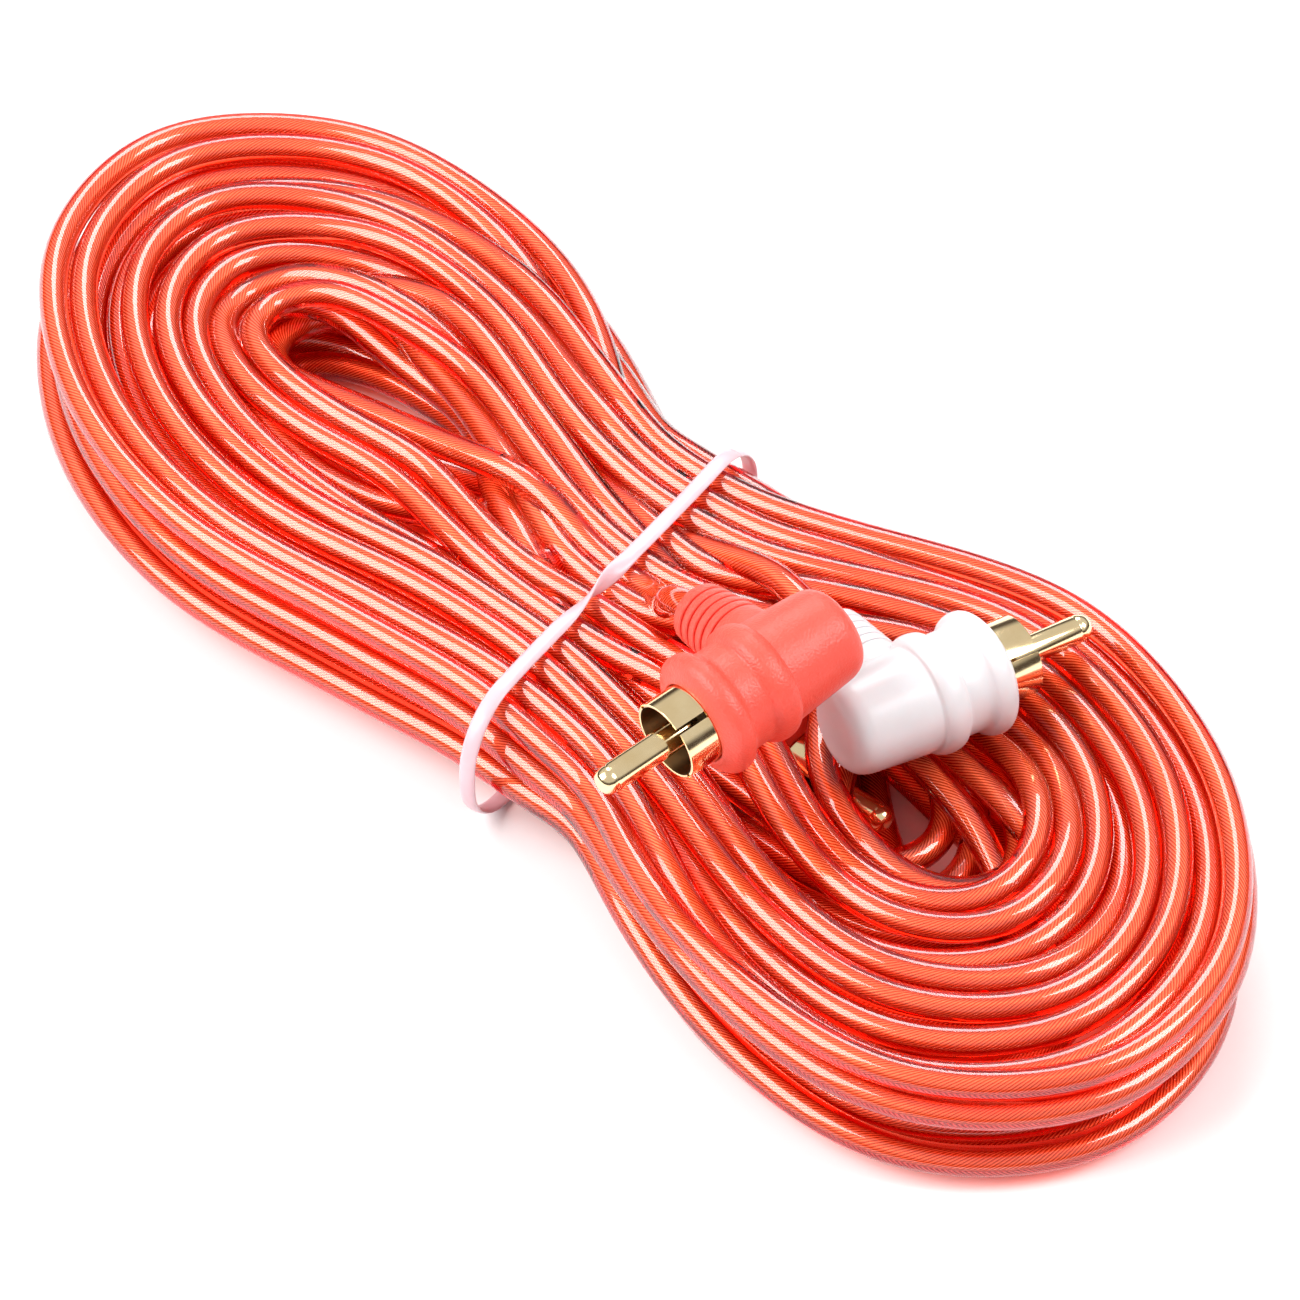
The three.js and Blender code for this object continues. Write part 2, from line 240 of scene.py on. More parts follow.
def slot_path(turns, rng):
    """The share of the way in and the height of the pair of leads along the winding."""
    done = turns - START
    places = slots()
    share = np.full_like(done, places[0][0])
    height = np.full_like(done, places[0][1])
    for turn, (next_share, next_height) in enumerate(places[1:], 1):
        early = rng.uniform(0.0, 0.3)
        change = ease((done - turn + early + CHANGE_OVER / 2) / CHANGE_OVER)
        share += (next_share - share) * change
        height += (next_height - height) * change
    share += WANDER_IN * smooth_noise(done, rng, *WANDER_PITCH)
    height += WANDER_UP * smooth_noise(done, rng, *WANDER_PITCH)
    for turn, strength, reach in FLANK_SAGS:
        share += strength * np.exp(-(((turns - turn) / reach) ** 2))
    for turn, strength in LOBE_SAGS:
        share += strength * np.exp(-(((turns - turn) / LOBE_REACH) ** 4))
    height -= EYE_DIP * np.exp(-(((turns - EYE_TURN) / EYE_DIP_REACH) ** 2))
    return share, height


def wound_pair(rng):
    """Centrelines of the two leads through the winding, from the far end to the near end."""
    edges = winding_loops()
    turns = np.linspace(START, FINISH, int((FINISH - START) * POINTS_PER_TURN))
    done = turns - START
    share, height = slot_path(turns, rng)
    roll = ROLL * smooth_noise(done, rng, *ROLL_PITCH) + math.pi * ease(done - SWAP_TURN)
    outer, inner = edges(turns)
    width = np.linalg.norm(inner - outer, axis=1)
    inward = (inner - outer) / width[:, None]
    depth = LEAD_R + share * (width - LEAD_R)
    centre = np.column_stack([outer + inward * depth[:, None], height])
    apart = LEAD_R + LOOSENESS * ease(np.abs(centre[:, 0] - WAIST_AT) / LOOSE_RUN - LOOSE_FROM)
    side = np.column_stack([inward * np.cos(roll)[:, None], np.sin(roll)]) * apart[:, None]
    return centre + side, centre - side


def resampled(points, step):
    """The path's points again, spaced evenly by about step."""
    along = distances_along(points)
    at = np.linspace(0, along[-1], int(round(along[-1] / step)) + 1)
    return np.column_stack([np.interp(at, along, column) for column in points.T])


# ---- the leads' ends, in millimetres, given point by point ------------------------------------
FAR_WHITE_ROUTE = [(0.9, 12.8, 7.2), (0.0, 15.8, 6.9), (-2.8, 18.0, 6.8), (-7.2, 17.4, 6.8)]
FAR_RED_ROUTE = [
    (17.0, 14.2, 7.6), (14.2, 17.2, 9.0), (9.0, 18.6, 10.2), (2.5, 18.4, 10.6), (-4.0, 17.6, 9.8),
    (-9.0, 15.6, 8.4),
]
NEAR_RED_ROUTE = [
    (-49.0, 11.0, 12.4), (-57.5, 9.8, 10.6), (-63.0, 3.0, 9.8), (-60.0, -4.6, 10.4), (-51.5, -5.8, 11.4),
    (-42.0, -4.2, 12.4), (-33.0, -2.8, 13.0), (-25.0, -1.6, 13.4), (-18.0, -0.8, 13.6),
    (-12.0, -0.2, 13.8), (-6.0, 0.3, 14.2), (-2.0, 0.7, 14.7), (1.6, 1.0, 15.2), (6.0, 0.2, 17.4),
    (10.0, -2.2, 20.8), (14.0, -6.0, 25.0), (18.0, -8.6, 28.9),
]
NEAR_WHITE_ROUTE = [
    (-51.0, 11.6, 13.2), (-58.6, 9.2, 11.4), (-63.0, 2.6, 10.2), (-61.0, -5.2, 9.8), (-53.5, -8.4, 9.8),
    (-44.0, -6.8, 9.8), (-36.0, -3.6, 9.8), (-28.0, 0.2, 10.0), (-20.0, 3.6, 10.8), (-13.0, 5.6, 12.4),
    (-6.0, 6.7, 14.0), (0.1, 7.0, 15.1), (6.0, 7.6, 16.8), (12.0, 8.8, 18.6), (17.0, 8.6, 19.6),
]
FAR_STATIONS = (LEAD_STOP, 12.2, LEG_END)    # places along a strain relief that its lead passes
NEAR_RED_STATIONS = (LEG_END + 1.5, LEG_END - 1, LEAD_STOP)
NEAR_WHITE_STATIONS = (LEG_END + 3, LEG_END - 1, LEAD_STOP)


def lead_in(name, stations):
    """Points along the axis of a plug's strain relief."""
    return [on_plug(name, (reach, LEG_AT, 0)) for reach in stations]


def lead_design(wound, far_plug, far_route, near_plug, near_route, near_stations):
    """One lead from its near plug to its far plug, as evenly spaced points."""
    far = lead_in(far_plug, FAR_STATIONS) + far_route
    near = near_route + lead_in(near_plug, near_stations)
    near_part = open_curve([wound[-LEAN], wound[-1]] + near)[CURVE_STEPS:]
    far_part = open_curve(far + [wound[0], wound[LEAN - 1]])[:-CURVE_STEPS]
    whole = np.vstack([far_part, wound[1:-1], near_part])[::-1]
    return resampled(whole, STEP)


def designed_leads():
    """The red lead and the white lead before they are settled."""
    white, red = wound_pair(np.random.default_rng(SEED))
    return [
        lead_design(
            red, "far_red", FAR_RED_ROUTE, "near_red", NEAR_RED_ROUTE, NEAR_RED_STATIONS,
        ),
        lead_design(
            white, "far_white", FAR_WHITE_ROUTE, "near_white", NEAR_WHITE_ROUTE, NEAR_WHITE_STATIONS,
        ),
    ]


# ---- settling: leads pushed apart until they rest side by side --------------------------------
SETTLING_STEPS = 160
SEARCH_EVERY = 8
SEARCH_REACH = 5.2
CONTACT = 3.42           # how close two leads' centres may come
NEIGHBOURS = 3           # points along one lead that never push each other
PUSH_APART = 0.5         # each point's part in closing an overlap, in one step
CROWDING = 0.55          # how far a point's pushes are shared out when many others touch it
PUSH_OFF = 0.6           # the part of its way out of a plug's bar that a point takes in one step
PRESS_DOWN = 0.5         # the same for a point above the hank's top
STRAIGHTEN = 0.4         # the part of a bend's excess that one step takes out
KEEP_SHARP = 0.4         # the share of its own move that a point keeps when moves are blended
BEND = 9.0               # the radius below which a bend is spread
BEND_REACH = 3           # points each way that a bend is measured over
NEAR_FREE = 60           # length by the near plugs where a lead may rise off the hank
FREE_TOP = 40.0          # how high it may rise there
FREE_END = 12            # points over which a lead goes from held by its plug to free
HELD_END = 3             # points at each end that stay where the plug holds them
SPRING_BACK = 0.997      # the share of its move that a point keeps from step to step
TOP = HANK_HEIGHT - LEAD_R
BAND_GAP = 0.1           # room between the leads and the band
BAND_ROOM = BAND_HALF_SPAN - BAND_THICK - LEAD_R - BAND_GAP
BAND_FLOOR = BAND_THICK + LEAD_R + BAND_GAP
BAND_ROOF = HANK_HEIGHT + 0.4 - BAND_THICK - LEAD_R - BAND_GAP
BAND_CORNER = 5.2
BAND_HOLD = 4            # how far to each side of the band the leads are fully held
BAND_FADE = 12           # how far beyond that the hold fades away
LOW_PLUGS = ("far_red", "far_white", "near_white")
PLUG_BARS = [            # (start, end, radius) of a plug's parts as round bars, in its own axes
    ((0, 5, 0), (0, 15, 0), 6.6),
    ((0, 17, 0), (0, 19, 0), FLANGE_R),
    ((3, LEG_AT, 0), (LEG_END - 2.5, LEG_AT, 0), 3.7),
    ((0, 20, 0), (0, 23, 0), 4.6),
    ((0, 24, 0), (0, PIN_TIP - PIN_R, 0), PIN_R),
]


def obstacles():
    """The round bars that the leads keep off."""
    bars = []
    for name in LOW_PLUGS:
        for start, end, radius in PLUG_BARS:
            bars.append((on_plug(name, start), on_plug(name, end), radius))
    return bars


def close_pairs(points, lead, index):
    """Pairs of points near enough to matter, leaving out neighbours on the same lead."""
    flat = points.astype(np.float32)
    square = (flat**2).sum(1)
    near = square[:, None] + square[None, :] - 2 * flat @ flat.T < SEARCH_REACH**2
    first, second = np.nonzero(np.triu(near, 1))
    apart = (lead[first] != lead[second]) | (np.abs(index[first] - index[second]) > NEIGHBOURS)
    return first[apart], second[apart]


def gathered(amounts, at, count):
    """The amounts added up at the points that they belong to."""
    return np.column_stack([np.bincount(at, column, count) for column in amounts.T])


def push_apart(points, first, second):
    """Moves that part each pair of points closer than the contact distance."""
    gap = points[first] - points[second]
    distance = np.linalg.norm(gap, axis=1) + 1e-9
    short = np.clip(CONTACT - distance, 0, None)
    push = gap / distance[:, None] * (PUSH_APART * short)[:, None]
    count = len(points)
    touching = (short > 0).astype(float)
    crowd = np.bincount(first, touching, count) + np.bincount(second, touching, count)
    total = gathered(push, first, count) - gathered(push, second, count)
    return total / np.maximum(1, CROWDING * crowd)[:, None]


def keep_off(points, bars):
    """Pushes points out of the round bars."""
    for start, end, radius in bars:
        along = end - start
        share = np.clip((points - start) @ along / along.dot(along), 0, 1)
        gap = points - (start + share[:, None] * along)
        distance = np.linalg.norm(gap, axis=1) + 1e-9
        short = np.clip(radius + LEAD_R - distance, 0, None)
        points += gap / distance[:, None] * (PUSH_OFF * short)[:, None]


def keep_in_band(points):
    """Squeezes the leads into the tie band's rounded opening where they pass through it."""
    across = np.array([-math.sin(BAND_TURN), math.cos(BAND_TURN)])
    through = np.array([math.cos(BAND_TURN), math.sin(BAND_TURN)])
    flat = points[:, :2] - (BAND_CENTRE + CENTRING[:2])
    along = np.abs(flat @ through)
    hold = 1 - ease((along - BAND_HOLD) / BAND_FADE)
    span = flat @ across
    middle = (BAND_FLOOR + BAND_ROOF) / 2
    half = (BAND_ROOF - BAND_FLOOR) / 2
    rise = points[:, 2] - middle
    beside = np.abs(span) - (BAND_ROOM - BAND_CORNER)
    above = np.abs(rise) - (half - BAND_CORNER)
    reach = np.clip(np.column_stack([beside, above]), 0, None)
    distance = np.linalg.norm(reach, axis=1) + 1e-9
    over = np.clip(distance - BAND_CORNER, 0, None) * hold
    push = reach / distance[:, None] * over[:, None]
    points[:, :2] -= across * (np.sign(span) * push[:, 0])[:, None]
    points[:, 2] -= np.sign(rise) * push[:, 1]


def open_bends(points):
    """Spreads one lead's bends that are tighter than BEND."""
    reach = BEND_REACH
    before, here, after = points[: -2 * reach], points[reach:-reach], points[2 * reach :]
    gap = (before + after) / 2 - here
    sag = np.linalg.norm(gap, axis=1) + 1e-9
    half = np.clip(np.linalg.norm(after - before, axis=1) / 2, 0, BEND)
    over = np.clip(sag - (BEND - np.sqrt(BEND**2 - half**2)), 0, None)
    move = gap / sag[:, None] * (STRAIGHTEN * over)[:, None]
    points[reach:-reach] += move
    points[: -2 * reach] -= move / 2
    points[2 * reach :] -= move / 2


def smoothed(values, keep):
    """values blended along a lead with their neighbours."""
    middle = values[1:-1]
    values[1:-1] = keep * middle + (1 - keep) / 2 * (values[:-2] + values[2:])
    return values


def settled(leads):
    """The designed leads after they have been pushed apart, as a list again."""
    sizes = [len(points) for points in leads]
    design = np.vstack(leads)
    lead = np.repeat(np.arange(len(leads)), sizes)
    index = np.concatenate([np.arange(size) for size in sizes])
    from_end = np.minimum(index, np.repeat(sizes, sizes) - 1 - index)
    freedom = ease((from_end - HELD_END) / FREE_END)[:, None]
    top = np.where(index * STEP < NEAR_FREE, FREE_TOP, TOP)
    bars = obstacles()
    points = design.copy()
    splits = np.cumsum(sizes)[:-1]
    for step in range(SETTLING_STEPS):
        if step % SEARCH_EVERY == 0:
            first, second = close_pairs(points, lead, index)
        points += push_apart(points, first, second)
        keep_off(points, bars)
        keep_in_band(points)
        for part in np.split(points, splits):
            open_bends(part)
        points[:, 2] += np.clip(LEAD_R - points[:, 2], 0, None)
        points[:, 2] -= PRESS_DOWN * np.clip(points[:, 2] - top, 0, None)
        moved = (points - design) * freedom * SPRING_BACK
        moved = np.vstack([smoothed(part, KEEP_SHARP) for part in np.split(moved, splits)])
        points = design + moved
    return np.split(points, splits)


# ---- lead meshes ---------------------------------------------------------------------------------
RING_STEP = 1.1
EASING_ROUNDS = 5        # how often a settled path's kinks are eased
EASING_KEEP = 0.5
EASING_STEPS = 3
JACKET_SIDES = 14
SHIELD_SIDES = 12
SHIELD_R = 0.72
SHIELD_STRANDS = 15
SHIELD_TWIST = 9.0       # length in which the shield's strands go once round


def smooth_path(points):
    """The settled points with their small kinks eased, spaced a ring apart."""
    eased = points.copy()
    for _ in range(EASING_ROUNDS):
        eased = smoothed(eased, EASING_KEEP)
    return resampled(open_curve(eased, EASING_STEPS), RING_STEP)


def rings_along(points):
    """Two unit directions square to the path at each point, carried along without twisting."""
    tangent = np.gradient(points, axis=0)
    tangent /= np.linalg.norm(tangent, axis=1)[:, None]
    side = np.zeros_like(points)
    side[0] = unit(np.cross(tangent[0], (0.0, 0.3, 1.0)))
    for at in range(1, len(points)):
        carried = side[at - 1] - tangent[at] * side[at - 1].dot(tangent[at])
        side[at] = carried / np.linalg.norm(carried)
    return side, np.cross(tangent, side)


def tube_uvs(points, sides):
    """For each corner of a tube's quads and then its two caps, u round it and v in twists along it."""
    count = len(points)
    along = distances_along(points) / SHIELD_TWIST
    here = np.arange(sides)[None] + np.zeros((count - 1, 1))
    u = np.stack([here, here + 1, here + 1, here], -1) / sides
    low = np.broadcast_to(along[:-1, None], (count - 1, sides))
    high = np.broadcast_to(along[1:, None], (count - 1, sides))
    v = np.stack([low, low, high, high], -1)
    walls = np.stack([u.reshape(-1), v.reshape(-1)], -1)
    caps = np.zeros((2 * sides, 2))
    return np.vstack([walls, caps]).astype(np.float32)


def tube_piece(name, points, radius, sides, material):
    """A closed round tube along points in millimetres."""
    side, up = rings_along(points)
    angle = np.linspace(0, 2 * math.pi, sides, endpoint=False)[None, :, None]
    ring = side[:, None] * np.cos(angle) + up[:, None] * np.sin(angle)
    vertices = (points[:, None] + radius * ring).reshape(-1, 3) * MM
    last = (len(points) - 1) * sides
    row = np.arange(0, last, sides)[:, None]
    here = np.arange(sides)[None]
    after = (here + 1) % sides
    quads = np.stack([row + here, row + after, row + sides + after, row + sides + here], -1)
    faces = quads.reshape(-1, 4).tolist()
    walls = len(faces)
    faces.append(list(range(sides))[::-1])
    faces.append(list(range(last, last + sides)))
    mesh = bpy.data.meshes.new(name)
    mesh.from_pydata(vertices.tolist(), [], faces)
    layer = mesh.uv_layers.new(name="along_lead")
    layer.data.foreach_set("uv", tube_uvs(points, sides).ravel())
    mesh.polygons.foreach_set("use_smooth", [True] * walls + [False, False])
    mesh.materials.append(material)
    mesh.update()
    return linked(bpy.data.objects.new(name, mesh))


# ---- materials -------------------------------------------------------------------------------------
def new_material(name):
    """A material, its node tree and its main shader."""
    material = bpy.data.materials.new(name)
    material.use_nodes = True
    tree = material.node_tree
    return material, tree, tree.nodes["Principled BSDF"]


def set_inputs(node, values):
    for name, value in values.items():
        node.inputs[name].default_value = value


def noise(tree, scale, detail=2.0):
    """A noise pattern that is fixed to the piece, with scale spots a metre."""
    place = tree.nodes.new("ShaderNodeTexCoord")
    pattern = tree.nodes.new("ShaderNodeTexNoise")
    set_inputs(pattern, {"Scale": scale, "Detail": detail})
    tree.links.new(place.outputs["Object"], pattern.inputs["Vector"])
    return pattern.outputs[0]


def blend_colours(tree, amount, dark, light, start=0.0, end=1.0):
    """A colour that runs from dark to light as amount goes from start to end."""
    ramp = tree.nodes.new("ShaderNodeValToRGB")
    for element, colour, position in zip(ramp.color_ramp.elements, (dark, light), (start, end)):
        element.color = (*colour, 1)
        element.position = position
    tree.links.new(amount, ramp.inputs[0])
    return ramp.outputs[0]


def press_in(tree, shader, height, strength, depth):
    """Gives the shader a relief from height, depth millimetres deep."""
    bump = tree.nodes.new("ShaderNodeBump")
    set_inputs(bump, {"Strength": strength, "Distance": depth * MM})
    tree.links.new(height, bump.inputs["Height"])
    tree.links.new(bump.outputs[0], shader.inputs["Normal"])


def calculated(tree, operation, first, second=0.5, third=0.5):
    """A maths node's result, from linked outputs and plain numbers."""
    maths = tree.nodes.new("ShaderNodeMath")
    maths.operation = operation
    for socket, value in zip(maths.inputs, (first, second, third)):
        if isinstance(value, bpy.types.NodeSocket):
            tree.links.new(value, socket)
        else:
            socket.default_value = value
    return maths.outputs[0]


def jacket_material():
    """Clear red PVC that bends what is seen through it and lets lamps reach the shield."""
    material, tree, shader = new_material("clear_red_pvc")
    tint = blend_colours(tree, noise(tree, 90), (1.0, 0.72, 0.68), (1.0, 0.90, 0.86), 0.35, 0.65)
    tree.links.new(tint, shader.inputs["Base Color"])
    set_inputs(shader, {
        "Transmission Weight": 1,
        "IOR": 1.5,
        "Roughness": 0.05,
        "Coat Weight": 0.45,
        "Coat IOR": 1.6,
        "Coat Roughness": 0.06,
    })
    dye = tree.nodes.new("ShaderNodeVolumeAbsorption")
    set_inputs(dye, {"Color": (0.99, 0.42, 0.22, 1), "Density": 1200})
    clear = tree.nodes.new("ShaderNodeBsdfTransparent")
    set_inputs(clear, {"Color": (1.0, 0.95, 0.93, 1)})
    light_path = tree.nodes.new("ShaderNodeLightPath")
    mix = tree.nodes.new("ShaderNodeMixShader")
    tree.links.new(light_path.outputs["Is Shadow Ray"], mix.inputs[0])
    tree.links.new(shader.outputs[0], mix.inputs[1])
    tree.links.new(clear.outputs[0], mix.inputs[2])
    output = tree.nodes["Material Output"]
    tree.links.new(mix.outputs[0], output.inputs["Surface"])
    tree.links.new(dye.outputs[0], output.inputs["Volume"])
    return material


def shield_material():
    """Fine copper strands wound at a slant round the lead's core."""
    material, tree, shader = new_material("copper_shield")
    uv = tree.nodes.new("ShaderNodeUVMap")
    uv.uv_map = "along_lead"
    parts = tree.nodes.new("ShaderNodeSeparateXYZ")
    tree.links.new(uv.outputs[0], parts.inputs[0])
    wobble = tree.nodes.new("ShaderNodeTexNoise")
    set_inputs(wobble, {"Scale": 3.0})
    tree.links.new(uv.outputs[0], wobble.inputs["Vector"])
    turns = calculated(tree, "ADD", parts.outputs[0], parts.outputs[1])
    strand = calculated(tree, "MULTIPLY_ADD", turns, 2 * math.pi * SHIELD_STRANDS, wobble.outputs[0])
    level = calculated(tree, "MULTIPLY_ADD", calculated(tree, "SINE", strand), 0.5, 0.5)
    copper = blend_colours(tree, level, (0.40, 0.12, 0.03), (1.0, 0.76, 0.46))
    tree.links.new(copper, shader.inputs["Base Color"])
    press_in(tree, shader, level, 0.4, 0.08)
    set_inputs(shader, {"Metallic": 0.55, "Roughness": 0.38})
    return material


def moulding_material(name, colour, roughness, grain, grain_size):
    """Soft moulded plastic: mottled colour, and a fine grain pressed in by the mould."""
    material, tree, shader = new_material(name)
    shade = [0.92 * part for part in colour]
    mottle = blend_colours(tree, noise(tree, 120, 3), shade, colour, 0.3, 0.75)
    tree.links.new(mottle, shader.inputs["Base Color"])
    press_in(tree, shader, noise(tree, 1 / (grain_size * MM), 1.5), grain, 0.18)
    set_inputs(shader, {
        "Roughness": roughness,
        "Subsurface Weight": 0.25,
        "Subsurface Radius": (1.0, 0.35, 0.3),
        "Subsurface Scale": 0.8 * MM,
    })
    return material


def gold_material(name, dull, bright, polished, worn):
    """Gold plate with faint smears, between two colours and two roughnesses."""
    material, tree, shader = new_material(name)
    smear = noise(tree, 350, 4)
    tree.links.new(blend_colours(tree, smear, dull, bright), shader.inputs["Base Color"])
    wear = tree.nodes.new("ShaderNodeMapRange")
    set_inputs(wear, {"To Min": polished, "To Max": worn})
    tree.links.new(smear, wear.inputs["Value"])
    tree.links.new(wear.outputs[0], shader.inputs["Roughness"])
    set_inputs(shader, {"Metallic": 1})
    return material


def fine_material(name, dark, light, roughness, metallic, size):
    """A worked surface for the plugs' inner pieces: two close colours, and a fine uneven finish."""
    material, tree, shader = new_material(name)
    spots = noise(tree, 1 / (size * MM), 4)
    tree.links.new(blend_colours(tree, spots, dark, light, 0.3, 0.7), shader.inputs["Base Color"])
    press_in(tree, shader, spots, 0.3, 0.04)
    set_inputs(shader, {"Roughness": roughness, "Metallic": metallic})
    return material


def band_material():
    """Milky elastic strip with a cloudy body."""
    material, tree, shader = new_material("milky_band")
    cloud = blend_colours(tree, noise(tree, 260), (0.78, 0.50, 0.55), (0.88, 0.68, 0.73))
    tree.links.new(cloud, shader.inputs["Base Color"])
    set_inputs(shader, {
        "Roughness": 0.28,
        "Transmission Weight": 0.25,
        "Subsurface Weight": 0.5,
        "Subsurface Radius": (1.0, 0.7, 0.7),
        "Subsurface Scale": 1.0 * MM,
    })
    return material


# ---- plugs ---------------------------------------------------------------------------------------------
BARREL_SIDES = 72
LEG_SIDES = 56
CAVITY_SIDES = 40
LEG_CAVITY_SIDES = 32
SHELL_SIDES = 96
PIN_SIDES = 48
BARREL_PROFILE = [
    (0, 0.0), (2.4, 0.02), (4.0, 0.25), (4.95, 0.9), (5.4, 1.9), (5.56, 3.2), (5.85, 7.0), (6.05, 9.6),
    (6.12, 10.2), (6.5, 10.55), (6.85, 11.3), (6.9, 12.1), (6.75, 12.9), (6.35, 13.4), (6.02, 13.75),
    (5.98, 14.6), (6.02, 15.9), (6.3, 16.6), (6.85, 17.1), (7.14, 17.9), (7.05, 18.7), (6.6, 19.3),
    (5.9, 19.75), (5.2, 20.05), (4.78, 20.1),
]
SEAT_PROFILE = [(4.66, 19.9), (4.66, 15.0), (0, 15.0)]
CAVITY_PROFILE = [(0, 2.7), (5.0, 2.7), (5.0, 14.4), (0, 14.4)]
LEG_CAVITY_PROFILE = [(0, 0), (2.75, 0), (2.75, 10.05), (0, 10.05)]
LEG_CAVITY_AT = 9.0
SLIT_COUNT = 5
SLIT_PITCH = 1.3
SLIT_WIDTH = 0.32
SLIT_DEPTH = 0.55
SLIT_ROUND = 0.12        # how far each side of a slit its rounded lip starts
SLIT_LIP = 0.1           # how far the lip has dropped at the slit's edge
SLIT_CORNER = 0.04
LAST_SLIT = 2.0          # from the last slit to the strain relief's tip
MOUTH_GAP = 0.25         # room round the lead at the strain relief's mouth
LEAD_GAP = 0.1           # and further in
MOUTH_DEPTH = 0.3
LEG_BORE_END = 10.0
LEG_TIP_R = 3.5
LEG_ROOT_R = 4.25
LEG_ROOT = 0.5
LEG_TAPER_FROM = 5.0
TIP_ROUND = 1.1
TIP_ROUND_LENGTH = 0.9
TIP_ROUND_STEPS = 6
SHELL_R = 4.55
SHELL_BORE_R = 4.15
SHELL_FOOT = 14.5
SHELL_RIM = 23.9
RIM_SOFT = 0.1
RIM_DROP = 0.03
SLOT_WIDTH = 0.7
SLOT_FROM = 20.1
SLOT_TO = 26
SLOT_REACH = 9
CREASE = math.radians(38)    # the angle from which an edge looks sharp
WELD = 0.002             # how close two corners are when they become one
PIN_PROFILE = [
    (0, 10.6), (1.1, 10.6), (1.1, 13.3), (1.16, 13.4), (1.55, 13.4), (1.6, 13.5), (1.6, 31.0),
    (1.52, 31.15), (1.5, 31.3), (1.55, 31.45), (1.52, 31.8), (1.38, 32.3), (1.08, 32.7), (0.6, 32.94),
    (0, 33.0),
]


def rounded_profile(points, steps=4):
    """A smooth profile through points that never crosses the axis."""
    curve = open_curve(np.array(points, float), steps)
    curve[:, 0] = np.clip(curve[:, 0], 0, None)
    curve[0] = points[0]
    curve[-1] = points[-1]
    return [tuple(point) for point in curve]


def lathed(name, profile, segments, turn=None):
    """A closed solid of revolution about Y, from a profile of (radius, height) pairs in millimetres."""
    shape = bmesh.new()
    angles = [2 * math.pi * step / segments for step in range(segments)]
    rings = []
    for radius, height in profile:
        if radius < 1e-4:
            rings.append([shape.verts.new((0, height, 0))])
            continue
        ring = [(radius * math.cos(angle), height, radius * math.sin(angle)) for angle in angles]
        rings.append([shape.verts.new(corner) for corner in ring])
    for low, high in zip(rings, rings[1:]):
        for here in range(segments):
            after = (here + 1) % segments
            corners = [low[here % len(low)], low[after % len(low)]]
            corners += [high[after % len(high)], high[here % len(high)]]
            distinct = list(dict.fromkeys(corners))
            if len(distinct) > 2:
                shape.faces.new(distinct)
    if turn is not None:
        bmesh.ops.transform(shape, matrix=turn, verts=shape.verts)
    bmesh.ops.recalc_face_normals(shape, faces=shape.faces)
    mesh = bpy.data.meshes.new(name)
    shape.to_mesh(mesh)
    shape.free()
    return linked(bpy.data.objects.new(name, mesh))


def merged(base, tool, operation):
    """base joined with, or cut by, tool, which is used up."""
    change = base.modifiers.new("merge", "BOOLEAN")
    change.operation = operation
    change.solver = "EXACT"
    change.object = tool
    bpy.context.view_layer.update()
    depsgraph = bpy.context.evaluated_depsgraph_get()
    result = bpy.data.meshes.new_from_object(base.evaluated_get(depsgraph))
    base.modifiers.clear()
    base.data = result
    bpy.data.objects.remove(tool)
    return base


def leg_radius(reach):
    """The strain relief's tapering radius."""
    narrowing = (LEG_TIP_R - LEG_ROOT_R) * (reach - LEG_TAPER_FROM) / (LEG_END - LEG_TAPER_FROM)
    return LEG_ROOT_R + narrowing


def leg_profile():
    """The strain relief from inside the barrel to its rounded tip, with its slits."""
    profile = [(0, LEG_ROOT), (LEG_ROOT_R, LEG_ROOT), (LEG_ROOT_R, LEG_TAPER_FROM)]
    first = LEG_END - LAST_SLIT - (SLIT_COUNT - 1) * SLIT_PITCH
    for slit in range(SLIT_COUNT):
        low = first + slit * SLIT_PITCH - SLIT_WIDTH / 2
        high = low + SLIT_WIDTH
        deep = leg_radius(low) - SLIT_DEPTH
        profile.append((leg_radius(low - SLIT_ROUND), low - SLIT_ROUND))
        profile.append((leg_radius(low) - SLIT_LIP, low))
        profile.append((deep, low + SLIT_CORNER))
        profile.append((deep, high - SLIT_CORNER))
        profile.append((leg_radius(high) - SLIT_LIP, high))
        profile.append((leg_radius(high + SLIT_ROUND), high + SLIT_ROUND))
    for step in range(1, TIP_ROUND_STEPS + 1):
        angle = step / TIP_ROUND_STEPS * math.pi / 2
        radius = LEG_TIP_R - TIP_ROUND + TIP_ROUND * math.cos(angle)
        profile.append((radius, LEG_END - TIP_ROUND_LENGTH + TIP_ROUND_LENGTH * math.sin(angle)))
    profile += [(LEAD_R + MOUTH_GAP, LEG_END), (LEAD_R + LEAD_GAP, LEG_END - MOUTH_DEPTH)]
    return profile + [(LEAD_R + LEAD_GAP, LEG_BORE_END), (0, LEG_BORE_END)]


def across_y(height):
    """Turns a solid made about Y to lie along X at that height."""
    return Matrix.Translation((0, height, 0)) @ Matrix.Rotation(-math.pi / 2, 4, "Z")


